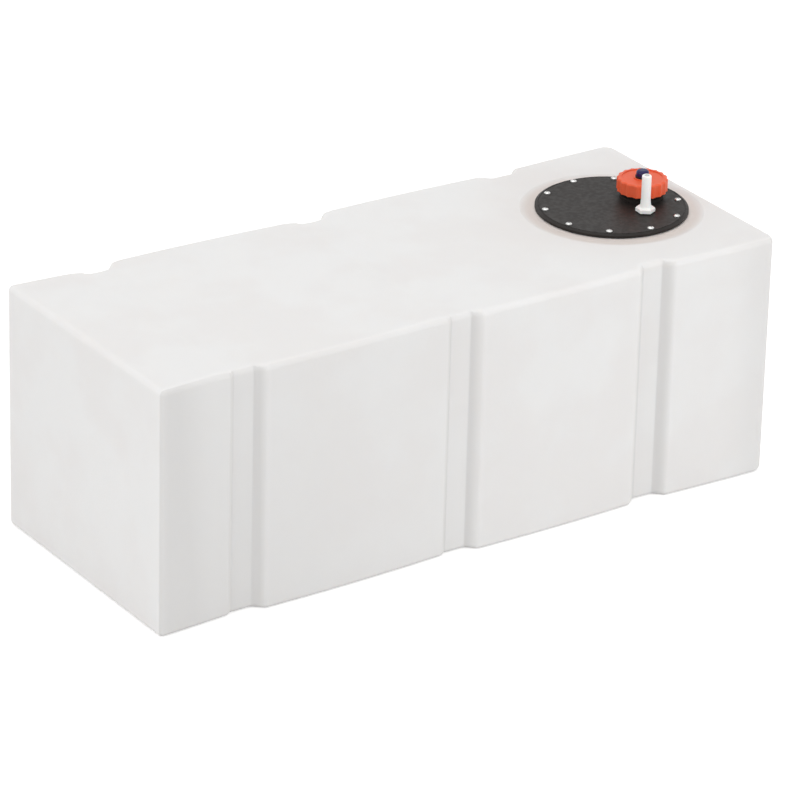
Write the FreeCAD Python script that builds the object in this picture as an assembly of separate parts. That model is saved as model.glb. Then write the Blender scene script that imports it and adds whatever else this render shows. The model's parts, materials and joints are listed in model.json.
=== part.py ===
import FreeCAD, Part
import math
import os

# Fresh-water tank, moulded in one hollow piece, with a bolted inspection plate that carries a screw
# filler cap with a vent, and a hose tail with a pickup tube.
# Millimetres. X runs along the tank, and the plate is near the +X end. -Y is the front. Z is up.
# The origin is on the ground, under the middle of the tank.

# Tank body
tank_length = 970.0
tank_width = 390.0
tank_height = 348.0
wall = 5.0
plain_end_radius = 8.0
plate_end_radius = 18.0
rim_radius = 8.0
panel_bow_radius = 3500.0

# Strap channels, upright in both long sides: one near each end, and one just off the middle of the two
channel_from_plain_end = 130.0
channel_from_plate_end = 196.0
middle_channel_shift = 11.0
channel_floor = 32.0
channel_depth = 13.0
channel_side_angle = 45.0
channel_mouth_radius = 9.0
channel_floor_radius = 6.0

# How far the two ends of each side panel are drawn in from the full width, from the plain end on
panel_draws = ((0.0, 8.0), (0.0, 8.0), (0.0, 4.0), (4.0, 0.0))

# Saddles, where the first two channels dip across the top
saddle_count = 2
saddle_depth = 4.0
saddle_half_width = 48.0

# Plate seat and the shallow moulded gutter around it
plate_end_margin = 31.0
hatch_margin = 25.0
gutter_gap = 0.5
gutter_width = 20.0
gutter_depth = 2.2

# Inspection plate and its neck
plate_radius = 105.0
plate_thickness = 4.5
plate_rim_width = 3.6
plate_rim_drop = 1.8
step_width = 1.2
step_depth = 0.6
step_from_rim = 0.4
spigot_wall = 2.5
spigot_depth = 12.0
spigot_clearance = 1.0
neck_inside_screws = 40.6
neck_aside = 4.2
neck_bore = 20.5
neck_root_radius = 27.2
neck_height = 23.6
neck_collar_radius = 30.0
neck_collar_height = 5.0
thread_pitch = 4.5
thread_turns = 2.0
thread_height = 1.3
thread_width = 2.4
thread_below_rim = 2.0

# Gasket and clamp ring
gasket_thickness = 1.5
gasket_margin = 2.0
ring_margin = 2.0
ring_beyond_screws = 9.0
ring_thickness = 8.0

# Screws and inserts
screw_count = 10
screw_rim_margin = 11.1
screw_first_angle = 16.2
screw_radius = 2.5
screw_hole_clearance = 0.3
screw_thread_clearance = 0.05
screw_head_radius = 4.4
screw_head_height = 3.0
screw_head_edge = 1.2
screw_short_of_insert = 1.0
cross_length = 5.0
cross_width = 1.1
cross_depth = 1.4
insert_radius = 3.8

# Filler cap
cap_radius = 35.0
cap_height = 18.2
cap_top = 3.0
cap_lobes = 18
lobe_depth = 1.8
lobe_radius = 3.2
cap_edge_radius = 2.6
cap_bore_clearance = 0.5
cap_recess_depth = 1.2
cap_recess_margin = 6.5
cap_hub_radius = 12.0
seal_thickness = 1.5
seal_gap = 0.2
seal_margin = 0.3

# Vent
bush_radius = 6.0
bush_flange_radius = 9.8
bush_flange_height = 2.4
bush_below_cap = 3.0
bush_lip = 0.8
bush_fit = 0.1
stem_radius = 3.2
stem_clearance = 0.3
vent_travel = 5.0
vent_gap = 0.3
stem_head_radius = 4.8
stem_head_height = 2.0
knob_radius = 8.8
knob_height = 8.0
knob_edge_radius = 4.2
o_ring_thickness = 1.8

# Hose tail
tail_inside_hatch = 30.3
tail_from_neck = 55.0
tail_hex = 23.5
tail_hex_turn = 25.0
tail_hex_height = 4.8
tail_hex_chamfer = 1.0
tail_bore = 3.6
tail_radius = 6.5
tail_root_radius = 7.6
tail_height = 47.4
tail_flare_height = 14.0
tail_tip_radius = 2.0
tail_gasket_thickness = 1.5
tail_thread_radius = 9.0
tail_thread_length = 20.0
tail_hole_clearance = 0.4
tail_nut_hex = 25.0
tail_nut_height = 8.0
tail_barb_radius = 5.8
tail_barb_length = 26.0

# Pickup tube
tube_wall = 2.0
tube_above_floor = 18.0
clip_thickness = 0.8
clip_width = 9.0
clip_from_end = 8.0
clip_ear = 4.0
strainer_radius = 12.0
strainer_height = 32.0
strainer_wall = 2.0
strainer_above_floor = 3.0
strainer_slots = 10
slot_width = 2.4
slot_margin = 5.0

# Edges are looked for within this distance of their height
edge_reach = 1.0

# Places in plan that follow from the sizes above
first_channel = channel_from_plain_end
last_channel = tank_length - channel_from_plate_end
middle_channel = (first_channel + last_channel) / 2 + middle_channel_shift
channel_places = (first_channel, middle_channel, last_channel)
plate_x = tank_length / 2 - plate_radius - plate_end_margin
hatch_radius = plate_radius - hatch_margin
screw_circle_radius = plate_radius - screw_rim_margin
neck_x = plate_x + screw_circle_radius - neck_inside_screws
neck_y = neck_aside
tail_reach = hatch_radius - tail_inside_hatch
neck_reach = math.hypot(neck_x - plate_x, neck_y)
neck_angle = math.atan2(neck_y, neck_x - plate_x)
reach_squares = tail_reach ** 2 + neck_reach ** 2
tail_turn = math.acos((reach_squares - tail_from_neck ** 2) / (2 * tail_reach * neck_reach))
tail_x = plate_x + tail_reach * math.cos(neck_angle - tail_turn)
tail_y = tail_reach * math.sin(neck_angle - tail_turn)

# Heights and radii that follow from the sizes above
seat_height = tank_height
plate_base = seat_height + gasket_thickness
plate_top = plate_base + plate_thickness
neck_rim = plate_top + neck_height
cap_ceiling = neck_rim + seal_gap + seal_thickness
cap_base = cap_ceiling + cap_top - cap_height
cap_level = cap_base + cap_height
cap_bore = neck_root_radius + thread_height + cap_bore_clearance
tail_base = plate_top + tail_gasket_thickness
tail_thread_end = tail_base - tail_thread_length
tail_end = tail_thread_end - tail_barb_length
tube_radius = tail_barb_radius + tube_wall
inner_roof = seat_height - wall

UP = FreeCAD.Vector(0, 0, 1)
CLOSE = 0.01


def point(x, y, z=0.0):
    return FreeCAD.Vector(x, y, z)


def cylinder(radius, height, x, y, z):
    return Part.makeCylinder(radius, height, point(x, y, z))


def ring(outer_radius, inner_radius, height, x, y, z):
    return cylinder(outer_radius, height, x, y, z).cut(cylinder(inner_radius, height, x, y, z))


def turned(profile, x, y):
    # A solid of revolution about the upright line through x, y, from (radius, height) corners
    corners = [point(radius, 0, height) for radius, height in profile]
    face = Part.Face(Part.makePolygon(corners + corners[:1]))
    solid = face.revolve(point(0, 0), UP, 360)
    solid.translate(point(x, y))
    return solid


def around(shape, count, first_angle, x, y):
    # Copies of a shape, evenly spaced about the upright line through x, y
    copies = []
    for number in range(count):
        copy = shape.copy()
        copy.rotate(point(x, y), UP, first_angle + 360.0 / count * number)
        copies.append(copy)
    return copies


def hexagon(across_flats, height, turn, x, y, z):
    reach = across_flats / 2 / math.cos(math.radians(30))
    corners = []
    for number in range(6):
        angle = math.radians(turn + 60 * number)
        corners.append(point(x + reach * math.cos(angle), y + reach * math.sin(angle), z))
    return Part.Face(Part.makePolygon(corners + corners[:1])).extrude(point(0, 0, height))


def circle_edges(shape, radius, height):
    # The round edges of one radius at one height
    found = []
    for edge in shape.Edges:
        curve = edge.Curve
        if curve.TypeId == 'Part::GeomCircle' and abs(curve.Radius - radius) < CLOSE:
            if abs(curve.Center.z - height) < CLOSE:
                found.append(edge)
    return found


def bowed_edge(start, end):
    # A panel's edge, bowed outwards on the panel radius
    chord = end - start
    rise = chord.Length ** 2 / (8 * panel_bow_radius)
    outward = point(chord.y, -chord.x).normalize()
    return Part.Arc(start, (start + end) * 0.5 + outward * rise, end).toShape()


def channel_corners(place, face, inset, draw_before, draw_after):
    # Mouth and floor corners of one channel, between two panels drawn in from -face
    turn = math.radians(90 - channel_side_angle)
    slope = math.tan(math.radians(channel_side_angle))
    half_floor = channel_floor / 2 + inset * math.tan(turn / 2)
    depth = channel_depth + draw_after
    x = place - tank_length / 2
    return [point(x - half_floor - (depth - draw_before) * slope, draw_before - face),
            point(x - half_floor, depth - face),
            point(x + half_floor, depth - face),
            point(x + half_floor + channel_depth * slope, draw_after - face)]


def plan_outline(inset):
    # The tank's outline seen from above, moved inwards by the inset
    half = tank_length / 2 - inset
    face = tank_width / 2 - inset
    edges = []
    last = point(-half, -face)
    for number, place in enumerate(channel_places):
        draw_before = panel_draws[number][1]
        draw_after = panel_draws[number + 1][0]
        corners = channel_corners(place, face, inset, draw_before, draw_after)
        edges.append(bowed_edge(last, corners[0]))
        for start, end in zip(corners, corners[1:]):
            edges.append(Part.makeLine(start, end))
        last = corners[-1]
    edges.append(bowed_edge(last, point(half, -face)))
    back = Part.Wire(edges).mirror(point(0, 0), point(0, 1))
    for side in (-half, half):
        edges.append(Part.makeLine(point(side, -face), point(side, face)))
    return Part.Wire(Part.__sortEdges__(edges + back.Edges))


def upright_edges(shape, chosen):
    # The straight upright edges whose plan position passes a test
    found = []
    for edge in shape.Edges:
        if edge.Curve.TypeId == 'Part::GeomLine':
            upright = abs(edge.tangentAt(edge.FirstParameter).z) > 1 - CLOSE
            if upright and chosen(edge.CenterOfMass):
                found.append(edge)
    return found


def at_channel_floor(at, face):
    # Whether a point of the plan lies on the floor of one of the channels
    for number, place in enumerate(channel_places):
        depth = channel_depth + panel_draws[number + 1][0]
        beside = abs(at.x - place + tank_length / 2)
        if abs(face - abs(at.y) - depth) < CLOSE and beside < channel_floor:
            return True
    return False


def round_uprights(solid, inset):
    # Rounds the corners of the tank, the channels' mouths and the corners of their floors
    half = tank_length / 2 - inset
    face = tank_width / 2 - inset
    plain_end = upright_edges(solid, lambda at: at.x < CLOSE - half)
    solid = solid.makeFillet(plain_end_radius - inset, plain_end)
    plate_end = upright_edges(solid, lambda at: at.x > half - CLOSE)
    solid = solid.makeFillet(plate_end_radius - inset, plate_end)
    reach = half - max(plain_end_radius, plate_end_radius)
    least_depth = channel_depth - CLOSE
    mouths = upright_edges(solid, lambda at: face - abs(at.y) < least_depth and abs(at.x) < reach)
    solid = solid.makeFillet(channel_mouth_radius - inset, mouths)
    floors = upright_edges(solid, lambda at: at_channel_floor(at, face))
    return solid.makeFillet(channel_floor_radius + inset, floors)


def saddle_cutter(place, top):
    # A shallow valley across the top: a hollow arc between two rounded shoulders
    arc_radius = (saddle_half_width ** 2 + saddle_depth ** 2) / (4 * saddle_depth)
    sweep = math.asin(saddle_half_width / 2 / arc_radius)
    x = place - tank_length / 2

    def shoulder(side, angle):
        across = saddle_half_width - arc_radius * math.sin(angle)
        return point(x + side * across, -tank_width, top - arc_radius + arc_radius * math.cos(angle))

    lift = point(0, 0, tank_height)
    left = shoulder(-1, 0)
    right = shoulder(1, 0)
    lowest = point(x, -tank_width, top - saddle_depth)
    edges = [Part.Arc(left, shoulder(-1, sweep / 2), shoulder(-1, sweep)).toShape(),
             Part.Arc(shoulder(-1, sweep), lowest, shoulder(1, sweep)).toShape(),
             Part.Arc(shoulder(1, sweep), shoulder(1, sweep / 2), right).toShape(),
             Part.makeLine(right, right + lift),
             Part.makeLine(right + lift, left + lift),
             Part.makeLine(left + lift, left)]
    return Part.Face(Part.Wire(edges)).extrude(point(0, 2 * tank_width, 0))


def loop_edges(shape, lowest, highest):
    # The edges between two heights where a level face meets an upright one
    found = []
    for edge in shape.Edges:
        box = edge.BoundBox
        if box.ZMin > lowest - edge_reach and box.ZMax < highest + edge_reach:
            uprights = []
            for face in shape.ancestorsOfType(edge, Part.Face):
                u, v = face.Surface.parameter(face.CenterOfMass)
                uprights.append(abs(face.normalAt(u, v).z) < 0.3)
            if sorted(uprights) == [False, True]:
                found.append(edge)
    return found


def tank_form(inset):
    # The tank's outer form, or with an inset of one wall the space inside it
    bottom = inset
    top = tank_height - inset
    solid = Part.Face(plan_outline(inset)).extrude(point(0, 0, top - bottom))
    solid.translate(point(0, 0, bottom))
    solid = round_uprights(solid, inset)
    for place in channel_places[:saddle_count]:
        solid = solid.cut(saddle_cutter(place, top))
    solid = solid.makeFillet(rim_radius - inset, loop_edges(solid, bottom, bottom))
    solid = solid.makeFillet(rim_radius - inset, loop_edges(solid, top - saddle_depth, top))
    arc_radius = ((gutter_width / 2) ** 2 + gutter_depth ** 2) / (2 * gutter_depth)
    middle = plate_radius + gutter_gap + gutter_width / 2
    arc_centre = point(plate_x, 0, tank_height - gutter_depth + arc_radius)
    return solid.cut(Part.makeTorus(middle, arc_radius + inset, arc_centre))


def screw_holes(bottom, top):
    radius = screw_radius + screw_hole_clearance
    hole = cylinder(radius, top - bottom, plate_x + screw_circle_radius, 0, bottom)
    return around(hole, screw_count, screw_first_angle, plate_x, 0)


def tank_body():
    # One hollow moulding, open only at the hatch and the screw holes
    outside = tank_form(0.0)
    inside = tank_form(wall)
    hollow = Part.Solid(Part.Compound([outside.Shells[0], inside.Shells[0].reversed()]))
    low = seat_height - 2 * wall
    high = seat_height + wall
    hatch = cylinder(hatch_radius, high - low, plate_x, 0, low)
    return hollow.cut([hatch] + screw_holes(low, high))


def plate_gasket():
    flat = ring(plate_radius - gasket_margin, hatch_radius, gasket_thickness, plate_x, 0, seat_height)
    return flat.cut(screw_holes(seat_height, plate_base))


def clamp_ring():
    base = inner_roof - ring_thickness
    outer = screw_circle_radius + ring_beyond_screws
    flat = ring(outer, hatch_radius + ring_margin, ring_thickness, plate_x, 0, base)
    hole = cylinder(insert_radius, ring_thickness, plate_x + screw_circle_radius, 0, base)
    return flat.cut(around(hole, screw_count, screw_first_angle, plate_x, 0))


def ring_inserts():
    bore = screw_radius + screw_thread_clearance
    base = inner_roof - ring_thickness
    insert = ring(insert_radius, bore, ring_thickness, plate_x + screw_circle_radius, 0, base)
    return Part.Compound(around(insert, screw_count, screw_first_angle, plate_x, 0))


def neck_thread():
    # One ridge that winds up the neck, with tapered flanks
    height = thread_pitch * thread_turns
    base = neck_rim - thread_below_rim - thread_width - height
    sunk = thread_height / 2
    inner = neck_root_radius - sunk
    outer = neck_root_radius + thread_height
    crest = thread_width / 2
    corners = [point(inner, 0, 0), point(outer, 0, (thread_width - crest) / 2),
               point(outer, 0, (thread_width + crest) / 2), point(inner, 0, thread_width)]
    profile = Part.makePolygon(corners + corners[:1])
    path = Part.Wire(Part.makeHelix(thread_pitch, height, neck_root_radius))
    ridge = path.makePipeShell([profile], True, True)
    ridge.translate(point(neck_x, neck_y, base))
    return ridge


def plate_disc():
    # The plate's flat disc: a sloping rim, and a fine step inside the rim
    slope = plate_radius - plate_rim_width
    step = slope - step_from_rim
    low_rim = plate_top - plate_rim_drop
    low_step = plate_top - step_depth
    step_end = step - step_width
    return turned([(0, plate_base), (plate_radius, plate_base), (plate_radius, low_rim),
                   (slope, plate_top), (step, plate_top), (step, low_step), (step_end, low_step),
                   (step_end, plate_top), (0, plate_top)], plate_x, 0)


def inspection_plate():
    # Plate, locating spigot and filler neck in one moulding
    spigot_radius = hatch_radius - spigot_clearance
    spigot_base = plate_base - spigot_depth
    spigot = ring(spigot_radius, spigot_radius - spigot_wall, spigot_depth, plate_x, 0, spigot_base)
    neck = cylinder(neck_root_radius, neck_height, neck_x, neck_y, plate_top)
    collar = cylinder(neck_collar_radius, neck_collar_height, neck_x, neck_y, plate_top)
    solid = plate_disc().fuse([spigot, neck, collar]).fuse(neck_thread())
    bore = cylinder(neck_bore, neck_height + plate_thickness, neck_x, neck_y, plate_base)
    tail_hole_radius = tail_thread_radius + tail_hole_clearance
    tail_hole = cylinder(tail_hole_radius, plate_thickness, tail_x, tail_y, plate_base)
    return solid.cut([bore, tail_hole] + screw_holes(plate_base, plate_top))


def screw_head():
    # A pan head: an upright edge, a domed crown and a cross recess
    dome = screw_head_height - screw_head_edge
    dome_radius = (screw_head_radius ** 2 + dome ** 2) / (2 * dome)
    half_way = math.asin(screw_head_radius / dome_radius) / 2
    dome_centre = screw_head_height - dome_radius
    corner = point(screw_head_radius, 0, 0)
    shoulder = point(screw_head_radius, 0, screw_head_edge)
    flank = point(dome_radius * math.sin(half_way), 0, dome_centre + dome_radius * math.cos(half_way))
    crown = point(0, 0, screw_head_height)
    edges = [Part.makeLine(point(0, 0), corner),
             Part.makeLine(corner, shoulder),
             Part.Arc(shoulder, flank, crown).toShape(),
             Part.makeLine(crown, point(0, 0))]
    head = Part.Face(Part.Wire(edges)).revolve(point(0, 0), UP, 360)
    floor = screw_head_height - cross_depth
    for along, across in ((cross_length, cross_width), (cross_width, cross_length)):
        corner = point(-along / 2, -across / 2, floor)
        head = head.cut(Part.makeBox(along, across, screw_head_height, corner))
    return head


def plate_screws():
    length = plate_top - (inner_roof - ring_thickness) - screw_short_of_insert
    head = screw_head()
    head.translate(point(plate_x + screw_circle_radius, 0, plate_top))
    shank = cylinder(screw_radius, length, plate_x + screw_circle_radius, 0, plate_top - length)
    screw = head.fuse(shank)
    return Part.Compound(around(screw, screw_count, screw_first_angle, plate_x, 0))


def lobed_outline(z):
    # Convex lobes and hollow arcs between them, tangent to each other all the way round
    half_step = math.pi / cap_lobes
    lobe_centre = cap_radius - lobe_radius
    valley = cap_radius - lobe_depth
    spread = math.cos(half_step)
    apart = lobe_centre ** 2 + valley ** 2 - 2 * lobe_centre * valley * spread
    hollow_radius = (apart - lobe_radius ** 2) / (2 * (lobe_radius + lobe_centre * spread - valley))

    def polar(radius, angle):
        return point(neck_x + radius * math.cos(angle), neck_y + radius * math.sin(angle), z)

    def joint(lobe_angle, hollow_angle):
        lobe = polar(lobe_centre, lobe_angle)
        hollow = polar(valley + hollow_radius, hollow_angle)
        return lobe + (hollow - lobe) * (lobe_radius / (lobe_radius + hollow_radius))

    edges = []
    for number in range(cap_lobes):
        lobe_angle = 2 * half_step * number
        before = joint(lobe_angle, lobe_angle - half_step)
        after = joint(lobe_angle, lobe_angle + half_step)
        following = joint(lobe_angle + 2 * half_step, lobe_angle + half_step)
        edges.append(Part.Arc(before, polar(cap_radius, lobe_angle), after).toShape())
        edges.append(Part.Arc(after, polar(valley, lobe_angle + half_step), following).toShape())
    return Part.Wire(edges)


def filler_cap():
    # Lobed cap with an annular recess in its top and a hub for the vent
    solid = Part.Face(lobed_outline(cap_base)).extrude(point(0, 0, cap_height))
    top_edges = []
    for edge in solid.Edges:
        if edge.BoundBox.ZMin > cap_level - CLOSE:
            top_edges.append(edge)
    solid = solid.makeFillet(cap_edge_radius, top_edges)
    inside = cylinder(cap_bore, cap_ceiling - cap_base, neck_x, neck_y, cap_base)
    recess_floor = cap_level - cap_recess_depth
    recess_radius = cap_radius - cap_recess_margin
    recess = ring(recess_radius, cap_hub_radius, cap_recess_depth, neck_x, neck_y, recess_floor)
    hole = cylinder(bush_radius + bush_fit, cap_top, neck_x, neck_y, cap_ceiling)
    return solid.cut([inside, recess, hole])


def cap_seal():
    base = cap_ceiling - seal_thickness
    outer = cap_bore - seal_margin
    return ring(outer, neck_bore, seal_thickness, neck_x, neck_y, base)


def vent_bush():
    # Flanged bush with a snap lip under the cap, and a seat for the ring under the knob
    top = cap_level + bush_flange_height
    bottom = cap_ceiling - bush_below_cap
    lip_top = cap_ceiling - bush_fit
    bore = stem_radius + stem_clearance
    seat_radius = stem_radius + o_ring_thickness + stem_clearance
    seat = top - o_ring_thickness
    return turned([(bore, bottom), (bush_radius, bottom), (bush_radius + bush_lip, bottom + bush_lip),
                   (bush_radius + bush_lip, lip_top), (bush_radius, lip_top), (bush_radius, cap_level),
                   (bush_flange_radius, cap_level), (bush_flange_radius, top), (seat_radius, top),
                   (seat_radius, seat), (bore, seat)], neck_x, neck_y)


def vent_knob():
    # Domed knob on a stem whose lower head stops the travel
    base = cap_level + bush_flange_height + vent_gap
    head_top = cap_ceiling - bush_below_cap - vent_travel - vent_gap
    head_base = head_top - stem_head_height
    knob = cylinder(knob_radius, knob_height, neck_x, neck_y, base)
    knob = knob.makeFillet(knob_edge_radius, circle_edges(knob, knob_radius, base + knob_height))
    stem = cylinder(stem_radius, base - head_base, neck_x, neck_y, head_base)
    head_corner = point(neck_x, neck_y, head_base)
    head = Part.makeCone(stem_radius, stem_head_radius, stem_head_height, head_corner)
    return knob.fuse([stem, head])


def vent_o_ring():
    radius = o_ring_thickness / 2
    height = cap_level + bush_flange_height + vent_gap - radius
    return Part.makeTorus(stem_radius + radius, radius, point(neck_x, neck_y, height))


def hose_tail():
    # Hex flange, straight spigot above, threaded shank and tube barb below
    flange = hexagon(tail_hex, tail_hex_height, tail_hex_turn, tail_x, tail_y, tail_base)
    reach = tail_hex / 2 / math.cos(math.radians(30))
    crown = reach - tail_hex_chamfer
    foot = point(tail_x, tail_y, tail_base)
    flange = flange.common(Part.makeCone(crown + tail_hex_height, crown, tail_hex_height, foot))
    flare_base = tail_base + tail_hex_height
    flare_top = flare_base + tail_flare_height
    tip = flare_base + tail_height
    root = point(tail_x, tail_y, flare_base)
    flare = Part.makeCone(tail_root_radius, tail_radius, tail_flare_height, root)
    spigot = cylinder(tail_radius, tip - flare_top, tail_x, tail_y, flare_top)
    spigot = spigot.makeFillet(tail_tip_radius, circle_edges(spigot, tail_radius, tip))
    shank = cylinder(tail_thread_radius, tail_thread_length, tail_x, tail_y, tail_thread_end)
    barb = cylinder(tail_barb_radius, tail_barb_length, tail_x, tail_y, tail_end)
    solid = flange.fuse([flare, spigot, shank, barb])
    return solid.cut(cylinder(tail_bore, tip - tail_end, tail_x, tail_y, tail_end))


def hose_tail_gasket():
    inner = tail_thread_radius + tail_hole_clearance
    return ring(tail_hex / 2, inner, tail_gasket_thickness, tail_x, tail_y, plate_top)


def hose_tail_nut():
    base = plate_base - tail_nut_height
    nut = hexagon(tail_nut_hex, tail_nut_height, tail_hex_turn, tail_x, tail_y, base)
    bore = tail_thread_radius + screw_thread_clearance
    return nut.cut(cylinder(bore, tail_nut_height, tail_x, tail_y, base))


def pickup_tube():
    bottom = wall + tube_above_floor
    top = tail_thread_end
    return ring(tube_radius, tail_barb_radius, top - bottom, tail_x, tail_y, bottom)


def pickup_clip():
    # A pinched band around the tube where it holds on the barb
    base = tail_thread_end - clip_from_end - clip_width
    outer = tube_radius + clip_thickness
    band = cylinder(outer, clip_width, tail_x, tail_y, base)
    corner = point(tail_x - clip_ear / 2, tail_y, base)
    ear = Part.makeBox(clip_ear, outer + clip_ear, clip_width, corner)
    gap_wide = clip_ear - 2 * clip_thickness
    gap_corner = point(tail_x - gap_wide / 2, tail_y, base)
    gap = Part.makeBox(gap_wide, outer + clip_ear - clip_thickness, clip_width, gap_corner)
    tube = cylinder(tube_radius, clip_width, tail_x, tail_y, base)
    return band.fuse(ear).cut([gap, tube])


def pickup_strainer():
    # A slotted foot that is pushed onto the tube's lower end
    base = wall + strainer_above_floor
    top = base + strainer_height
    tube_end = wall + tube_above_floor
    solid = cylinder(strainer_radius, strainer_height, tail_x, tail_y, base)
    inside = strainer_radius - strainer_wall
    chamber = cylinder(inside, tube_end - base - strainer_wall, tail_x, tail_y, base + strainer_wall)
    socket = cylinder(tube_radius, top - tube_end, tail_x, tail_y, tube_end)
    slot_height = tube_end - base - 2 * strainer_wall
    corner = point(tail_x, tail_y - slot_width / 2, base + strainer_wall)
    slot = Part.makeBox(strainer_radius + slot_margin, slot_width, slot_height, corner)
    return solid.cut([chamber, socket] + around(slot, strainer_slots, 0.0, tail_x, tail_y))


makers = (tank_body, plate_gasket, clamp_ring, ring_inserts, inspection_plate, plate_screws,
          filler_cap, cap_seal, vent_bush, vent_knob, vent_o_ring, hose_tail, hose_tail_gasket,
          hose_tail_nut, pickup_tube, pickup_clip, pickup_strainer)

os.makedirs("parts", exist_ok=True)
for maker in makers:
    shape = maker()
    shape.exportStep(os.path.join("parts", maker.__name__ + ".step"))
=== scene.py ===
import json
import math
import bpy
from mathutils import Matrix, Vector


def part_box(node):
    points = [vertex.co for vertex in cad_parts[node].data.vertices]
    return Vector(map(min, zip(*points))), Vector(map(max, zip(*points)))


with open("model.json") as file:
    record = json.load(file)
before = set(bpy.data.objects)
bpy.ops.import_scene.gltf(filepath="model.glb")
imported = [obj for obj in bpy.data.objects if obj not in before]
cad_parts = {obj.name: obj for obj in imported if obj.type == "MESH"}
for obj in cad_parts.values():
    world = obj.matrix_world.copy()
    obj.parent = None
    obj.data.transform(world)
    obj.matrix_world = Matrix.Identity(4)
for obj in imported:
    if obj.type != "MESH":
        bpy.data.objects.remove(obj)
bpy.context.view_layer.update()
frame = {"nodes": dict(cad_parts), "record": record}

scene = bpy.context.scene
scene.view_settings.view_transform = "Standard"

# Metres. The tank's middle stands over the origin, and its end with the plate points along +X.
tank_low, tank_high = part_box("tank_body")
tank_middle = Vector((0, 0, tank_high.z / 2))
plate_low, plate_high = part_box("inspection_plate")
plate_middle = (plate_low + plate_high) / 2
plate_radius = (plate_high.x - plate_low.x) / 2

# Camera, placed by the photograph: it looks down on the plain end and the front
camera_turn = math.radians(34.29)
camera_height = math.radians(24.86)
camera_roll = math.radians(1.49)
camera_distance = 6.76
camera_offset = (-0.0066, 0.0272)
camera_reach = 100
focal_pixels = 5044.2
image_pixels = 800
sensor_width = 36.0


def camera_axes():
    # Right, up and backwards as the camera has them
    level = math.cos(camera_height)
    back = Vector((-math.sin(camera_turn) * level, -math.cos(camera_turn) * level, math.sin(camera_height)))
    right = (-back).cross(Vector((0, 0, 1))).normalized()
    up = right.cross(-back)
    cosine = math.cos(camera_roll)
    sine = math.sin(camera_roll)
    return right * cosine + up * sine, up * cosine - right * sine, back


def add_camera():
    right, up, back = camera_axes()
    place = tank_middle + back * camera_distance - right * camera_offset[0] - up * camera_offset[1]
    data = bpy.data.cameras.new("camera")
    data.sensor_width = sensor_width
    data.lens = focal_pixels * sensor_width / image_pixels
    data.clip_end = camera_reach
    camera = bpy.data.objects.new("camera", data)
    turned = Matrix((right, up, back)).transposed().to_4x4()
    camera.matrix_world = Matrix.Translation(place) @ turned
    scene.collection.objects.link(camera)
    scene.camera = camera


# Light: a soft even surround, a broad lamp off the plain end, one off the front and one above.
# The surround is white to the camera, in mirrors and through clear material.
white = (1, 1, 1)
white_level = 1.0
surround_level = 0.78
lamps = {
    "lamp_plain_end": {"place": (-2.6, -0.5, 1.0), "size": 2.0, "watts": 12},
    "lamp_front": {"place": (1.2, -2.7, 0.9), "size": 1.8, "watts": 18},
    "lamp_above": {"place": (0.0, 0.3, 2.6), "size": 2.2, "watts": 11},
}


def add_lamp(name, place, size, watts):
    data = bpy.data.lights.new(name, "AREA")
    data.shape = "SQUARE"
    data.size = size
    data.energy = watts
    lamp = bpy.data.objects.new(name, data)
    lamp.location = place
    aim = tank_middle - Vector(place)
    lamp.rotation_mode = "QUATERNION"
    lamp.rotation_quaternion = aim.to_track_quat("-Z", "Y")
    scene.collection.objects.link(lamp)


# Sockets of a Mix node that mixes colours
mix_amount = 0
mix_first = 6
mix_second = 7
mix_result = 2


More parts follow.
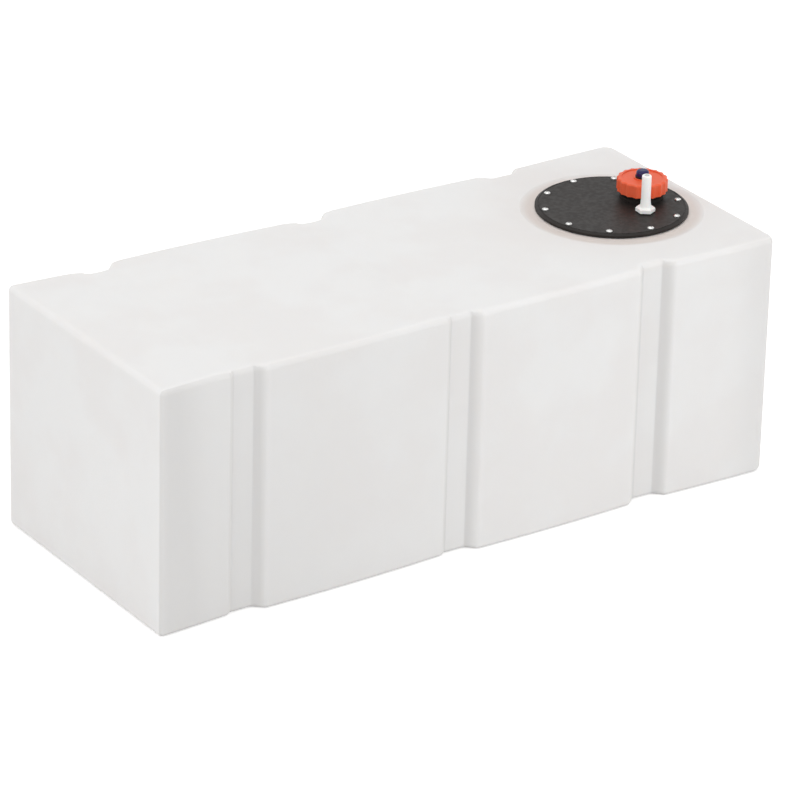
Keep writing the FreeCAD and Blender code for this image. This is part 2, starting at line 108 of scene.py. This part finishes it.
class Shader:
    # Short ways to add and join the nodes of one material or world
    def __init__(self, owner):
        owner.use_nodes = True
        self.tree = owner.node_tree
        self.tree.nodes.clear()

    def node(self, kind, **inputs):
        node = self.tree.nodes.new(kind)
        for name, value in inputs.items():
            self.feed(node, name, value)
        return node

    def feed(self, node, name, value):
        # Puts a link, a colour of three parts or a plain value on an input, by its name or number
        socket = node.inputs[name]
        if isinstance(value, bpy.types.NodeSocket):
            self.tree.links.new(value, socket)
        elif socket.type == "RGBA":
            socket.default_value = (*value, 1)
        else:
            socket.default_value = value

    def feed_in_order(self, node, *values):
        # Puts values on a node's first inputs
        for number, value in enumerate(values):
            self.feed(node, number, value)

    def math(self, operation, first, second):
        node = self.node("ShaderNodeMath")
        node.operation = operation
        self.feed_in_order(node, first, second)
        return node.outputs["Value"]

    def size(self, value):
        # A number without its sign
        return self.math("ABSOLUTE", value, 0.0)

    def vector_math(self, operation, first, second):
        node = self.node("ShaderNodeVectorMath")
        node.operation = operation
        self.feed_in_order(node, first, second)
        return node.outputs

    def parts(self, vector):
        # The X, Y and Z of a vector
        return self.node("ShaderNodeSeparateXYZ", Vector=vector).outputs

    def seen_directly(self):
        # 1 for rays from the camera, a mirror or clear material, and 0 for the rays that light things
        path = self.node("ShaderNodeLightPath")
        seen = self.math("MAXIMUM", path.outputs["Is Camera Ray"], path.outputs["Is Glossy Ray"])
        return self.math("MAXIMUM", seen, path.outputs["Is Transmission Ray"])

    def place(self):
        return self.node("ShaderNodeTexCoord").outputs["Object"]

    def normal(self):
        return self.node("ShaderNodeTexCoord").outputs["Normal"]

    def noise(self, scale, detail):
        node = self.node("ShaderNodeTexNoise", Scale=scale, Detail=detail, Vector=self.place())
        return node.outputs["Fac"]

    def between(self, value, low, high, to_low=0.0, to_high=1.0):
        # A smooth step from low to high, given out between two values
        node = self.node("ShaderNodeMapRange")
        node.interpolation_type = "SMOOTHSTEP"
        for name, number in (("Value", value), ("From Min", low), ("From Max", high),
                             ("To Min", to_low), ("To Max", to_high)):
            self.feed(node, name, number)
        return node.outputs["Result"]

    def patches(self, scale, detail, span, values=(0.0, 1.0)):
        # Soft patches of noise, from the span's low end at one value to its high end at the other
        return self.between(self.noise(scale, detail), *span, *values)

    def blend(self, amount, first, second):
        # Two colours mixed by an amount
        node = self.node("ShaderNodeMix")
        node.data_type = "RGBA"
        self.feed(node, mix_amount, amount)
        self.feed(node, mix_first, first)
        self.feed(node, mix_second, second)
        return node.outputs[mix_result]

    def relief(self, scale, detail, height, strength, under=None):
        # Hills and hollows from noise, on top of the relief under them
        node = self.node("ShaderNodeBump", Strength=strength, Distance=height)
        self.feed(node, "Height", self.noise(scale, detail))
        if under:
            self.feed(node, "Normal", under)
        return node.outputs["Normal"]


def add_world():
    world = bpy.data.worlds.new("world")
    shader = Shader(world)
    soft = shader.node("ShaderNodeBackground", Color=white, Strength=surround_level)
    bright = shader.node("ShaderNodeBackground", Color=white, Strength=white_level)
    mixed = shader.node("ShaderNodeMixShader")
    shader.feed_in_order(mixed, shader.seen_directly(), soft.outputs[0], bright.outputs[0])
    shader.node("ShaderNodeOutputWorld", Surface=mixed.outputs[0])
    scene.world = world


# Floor: pale, seen as white where nothing shades it
floor_half = 6.0
floor_tone = 0.8
floor_glow = 0.44


def floor_material():
    material = bpy.data.materials.new("floor")
    shader = Shader(material)
    paint = shader.node("ShaderNodeBsdfDiffuse", Color=(floor_tone, floor_tone, floor_tone))
    glow_seen = shader.math("MULTIPLY", shader.seen_directly(), floor_glow)
    glow = shader.node("ShaderNodeEmission", Color=white, Strength=glow_seen)
    both = shader.node("ShaderNodeAddShader")
    shader.feed_in_order(both, paint.outputs[0], glow.outputs[0])
    shader.node("ShaderNodeOutputMaterial", Surface=both.outputs[0])
    return material


def add_floor():
    mesh = bpy.data.meshes.new("floor")
    corners = [(-floor_half, -floor_half, 0), (floor_half, -floor_half, 0),
               (floor_half, floor_half, 0), (-floor_half, floor_half, 0)]
    mesh.from_pydata(corners, [], [(0, 1, 2, 3)])
    mesh.materials.append(floor_material())
    floor = bpy.data.objects.new("floor", mesh)
    scene.collection.objects.link(floor)


def new_material(name, constants):
    # A material with a principled surface whose constant values sit on its own sockets
    material = bpy.data.materials.new(name)
    shader = Shader(material)
    surface = shader.node("ShaderNodeBsdfPrincipled")
    for socket, value in constants.items():
        shader.feed(surface, socket, value)
    shader.node("ShaderNodeOutputMaterial", Surface=surface.outputs[0])
    return material, shader, surface


# The part of a noise's range that the gloss of each material goes through
gloss_span = (0.3, 0.7)

# Milky polyethylene: white and mottled, with painted shade on its long sides in places
body_white = (0.874, 0.86, 0.845)
body_shade = (0.854, 0.829, 0.811)
# The last is the colour of the painted shade on the long sides
painted_shade_tone = (0.735, 0.72, 0.706)
body_constants = {
    "IOR": 1.5,
    "Specular IOR Level": 0.3,
    "Subsurface Weight": 0.3,
    "Subsurface Radius": (1.0, 0.9, 0.8),
    "Subsurface Scale": 0.02,
}

# How much of Y a normal has where the long sides begin, and where they are reached
long_side_span = (0.35, 0.65)

# Painted shade in the channels, on their floors and on their walls, told apart by how much of X a normal
# has. The depths are from the outermost of the long side.
channel_wall_span = (0.1, 0.45)
channel_shade_amounts = (0.15, 0.9)
channel_depth_full = 0.0135
channel_depth_none = 0.001

# Painted shade along the long sides: falling from the plain end on, more of it at the foot than at the
# top, with some added at the upright corners
plain_end_shade = 0.5
plain_end_reach = 0.66
foot_share = 1.5
top_share = 0.9
plain_corner_shade = 0.7
plate_corner_shade = 0.6
corner_reach = 0.09

# The ring of painted shade round the plate, and a faint tint of the same colour fading out beyond it. The
# depths are from the tank's top.
level_part = (1.0, 1.0, 0.0)
# The colour of the painted shade in the ring round the plate
ring_shade_tone = (0.74, 0.655, 0.61)
ring_inner = plate_radius + 0.001
ring_outer = plate_radius + 0.026
ring_rise = 0.004
ring_full_width = 0.006
ring_depth_full = 0.006
ring_depth_none = 0.02
ring_fade_outer = plate_radius + 0.14
ring_fade_strength = 0.22


# Painted shade on the floors and, more, on the walls of the channels
def channel_painted_shade(shader, spot, normal):
    walls = shader.between(shader.size(normal["X"]), *channel_wall_span, *channel_shade_amounts)
    floor_side = tank_high.y - channel_depth_full
    mouth_side = tank_high.y - channel_depth_none
    deep = shader.between(shader.size(spot["Y"]), floor_side, mouth_side, 1.0, 0.0)
    return shader.math("MULTIPLY", deep, walls)


# Painted shade along the long sides, darker towards the plain end, at the foot and at the upright corners
def lengthwise_painted_shade(shader, along, height):
    falling = shader.between(along, tank_low.x, tank_low.x + plain_end_reach, plain_end_shade, 0.0)
    share = shader.between(height, 0.0, tank_high.z, foot_share, top_share)
    corner = shader.between(along, tank_low.x, tank_low.x + corner_reach, plain_corner_shade, 0.0)
    far_corner = shader.between(along, tank_high.x - corner_reach, tank_high.x, 0.0, plate_corner_shade)
    plain_end = shader.math("ADD", shader.math("MULTIPLY", falling, share), corner)
    return shader.math("ADD", plain_end, far_corner)


def painted_shade(shader, spot):
    # How much painted shade the long sides get. It is 0 on the top and the ends.
    normal = shader.parts(shader.normal())
    long_side = shader.between(shader.size(normal["Y"]), *long_side_span)
    lengthwise = lengthwise_painted_shade(shader, spot["X"], spot["Z"])
    both = shader.math("ADD", lengthwise, channel_painted_shade(shader, spot, normal))
    return shader.math("MULTIPLY", long_side, both)


def distance_from_plate(shader):
    # How far a point is from the upright line through the plate's middle
    flat = shader.vector_math("MULTIPLY", shader.place(), level_part)["Vector"]
    return shader.vector_math("DISTANCE", flat, (plate_middle.x, plate_middle.y, 0.0))["Value"]


# A ring of painted shade round the plate, and a faint tint of it fading out beyond
def ring_shade_strength(shader, height):
    away = distance_from_plate(shader)
    rises = shader.between(away, ring_inner - ring_rise, ring_inner)
    fades = shader.between(away, ring_inner + ring_full_width, ring_outer, 1.0, 0.0)
    beyond_fade = shader.between(away, ring_inner, ring_fade_outer, ring_fade_strength, 0.0)
    on_top = shader.between(height, tank_high.z - ring_depth_none, tank_high.z - ring_depth_full)
    ring = shader.math("MULTIPLY", rises, shader.math("MAXIMUM", fades, beyond_fade))
    return shader.math("MULTIPLY", ring, on_top)


def milky_polyethylene():
    material, shader, surface = new_material("milky_polyethylene", body_constants)
    spot = shader.parts(shader.place())
    mottle = shader.patches(scale=7.0, detail=3.0, span=(0.4, 0.62))
    colour = shader.blend(mottle, body_white, body_shade)
    # Painted shade on the long sides and in the channels
    colour = shader.blend(painted_shade(shader, spot), colour, painted_shade_tone)
    # Painted shade in a ring round the plate, fading out beyond it
    colour = shader.blend(ring_shade_strength(shader, spot["Z"]), colour, ring_shade_tone)
    shader.feed(surface, "Base Color", colour)
    gloss = shader.patches(scale=60.0, detail=2.0, span=gloss_span, values=(0.52, 0.64))
    shader.feed(surface, "Roughness", gloss)
    wavy = shader.relief(scale=9.0, detail=1.0, height=0.004, strength=0.35)
    peel = shader.relief(scale=260.0, detail=2.0, height=0.0006, strength=0.3, under=wavy)
    shader.feed(surface, "Normal", peel)
    return material


# Moulded plastics: the two tones of each, how rough it is and what else its surface has
plastics = {
    "black_plastic": {
        "tones": ((0.0155, 0.0125, 0.011), (0.021, 0.017, 0.0148)),
        "roughness": 0.46,
        "constants": {"Specular IOR Level": 0.22},
    },
    "red_plastic": {
        "tones": ((0.85, 0.115, 0.04), (0.8, 0.13, 0.055)),
        "roughness": 0.42,
        "constants": {"Specular IOR Level": 0.28, "Subsurface Weight": 0.1, "Subsurface Scale": 0.003},
    },
    "blue_plastic": {
        "tones": ((0.008, 0.008, 0.085), (0.014, 0.010, 0.075)),
        "roughness": 0.24,
        "constants": {"Specular IOR Level": 0.3},
    },
    "white_nylon": {
        "tones": ((0.955, 0.95, 0.935), (0.93, 0.922, 0.905)),
        "roughness": 0.34,
        "constants": {"Subsurface Weight": 0.1, "Subsurface Scale": 0.004},
    },
    "grey_plastic": {
        "tones": ((0.3, 0.3, 0.3), (0.24, 0.24, 0.24)),
        "roughness": 0.5,
        "constants": {},
    },
    "clear_tube": {
        "tones": ((0.72, 0.75, 0.72), (0.62, 0.66, 0.64)),
        "roughness": 0.25,
        "constants": {"Transmission Weight": 0.5},
    },
    "black_rubber": {
        "tones": ((0.014, 0.014, 0.014), (0.024, 0.023, 0.022)),
        "roughness": 0.7,
        "grain": 400.0,
        "constants": {},
    },
}
plastic_smoother = 0.05
plastic_rougher = 0.07

# Metals: the two tones of each and how rough it is where it is smoothest
metals = {
    "stainless_steel": {"tones": ((0.8, 0.8, 0.79), (0.62, 0.62, 0.61)), "roughness": 0.22},
    "brass": {"tones": ((0.78, 0.58, 0.28), (0.6, 0.42, 0.2)), "roughness": 0.28},
}
metal_rougher = 0.14


def moulded_plastic(name, tones, roughness, constants, grain=700.0):
    # Two close tones, a fine grain and a slightly uneven gloss
    material, shader, surface = new_material(name, constants)
    cloud = shader.patches(scale=45.0, detail=4.0, span=(0.38, 0.66))
    shader.feed(surface, "Base Color", shader.blend(cloud, *tones))
    gloss_values = (roughness - plastic_smoother, roughness + plastic_rougher)
    gloss = shader.patches(scale=160.0, detail=3.0, span=gloss_span, values=gloss_values)
    shader.feed(surface, "Roughness", gloss)
    skin = shader.relief(scale=grain, detail=3.0, height=0.0002, strength=0.25)
    shader.feed(surface, "Normal", skin)
    return material


def bright_metal(name, tones, roughness):
    # Metal with one pattern of patches in its tone and its gloss, and a very fine grain
    material, shader, surface = new_material(name, {"Metallic": 1.0})
    cloud = shader.noise(scale=220.0, detail=4.0)
    tarnish = shader.between(cloud, low=0.35, high=0.7)
    shader.feed(surface, "Base Color", shader.blend(tarnish, *tones))
    gloss = shader.between(cloud, *gloss_span, roughness, roughness + metal_rougher)
    shader.feed(surface, "Roughness", gloss)
    skin = shader.relief(scale=1500.0, detail=2.0, height=0.0001, strength=0.3)
    shader.feed(surface, "Normal", skin)
    return material


def make_materials():
    materials = {"milky_polyethylene": milky_polyethylene()}
    for name, look in plastics.items():
        materials[name] = moulded_plastic(name, **look)
    for name, look in metals.items():
        materials[name] = bright_metal(name, **look)
    return materials


def dress_nodes(materials):
    # Each CAD node takes the material of its slot in the record
    for subpart in frame["record"]["subparts"]:
        piece = frame["nodes"][subpart["node"]]
        piece.data.materials.clear()
        piece.data.materials.append(materials[subpart["material_slot"]])


add_camera()
add_world()
for lamp_name, lamp in lamps.items():
    add_lamp(lamp_name, **lamp)
add_floor()
dress_nodes(make_materials())
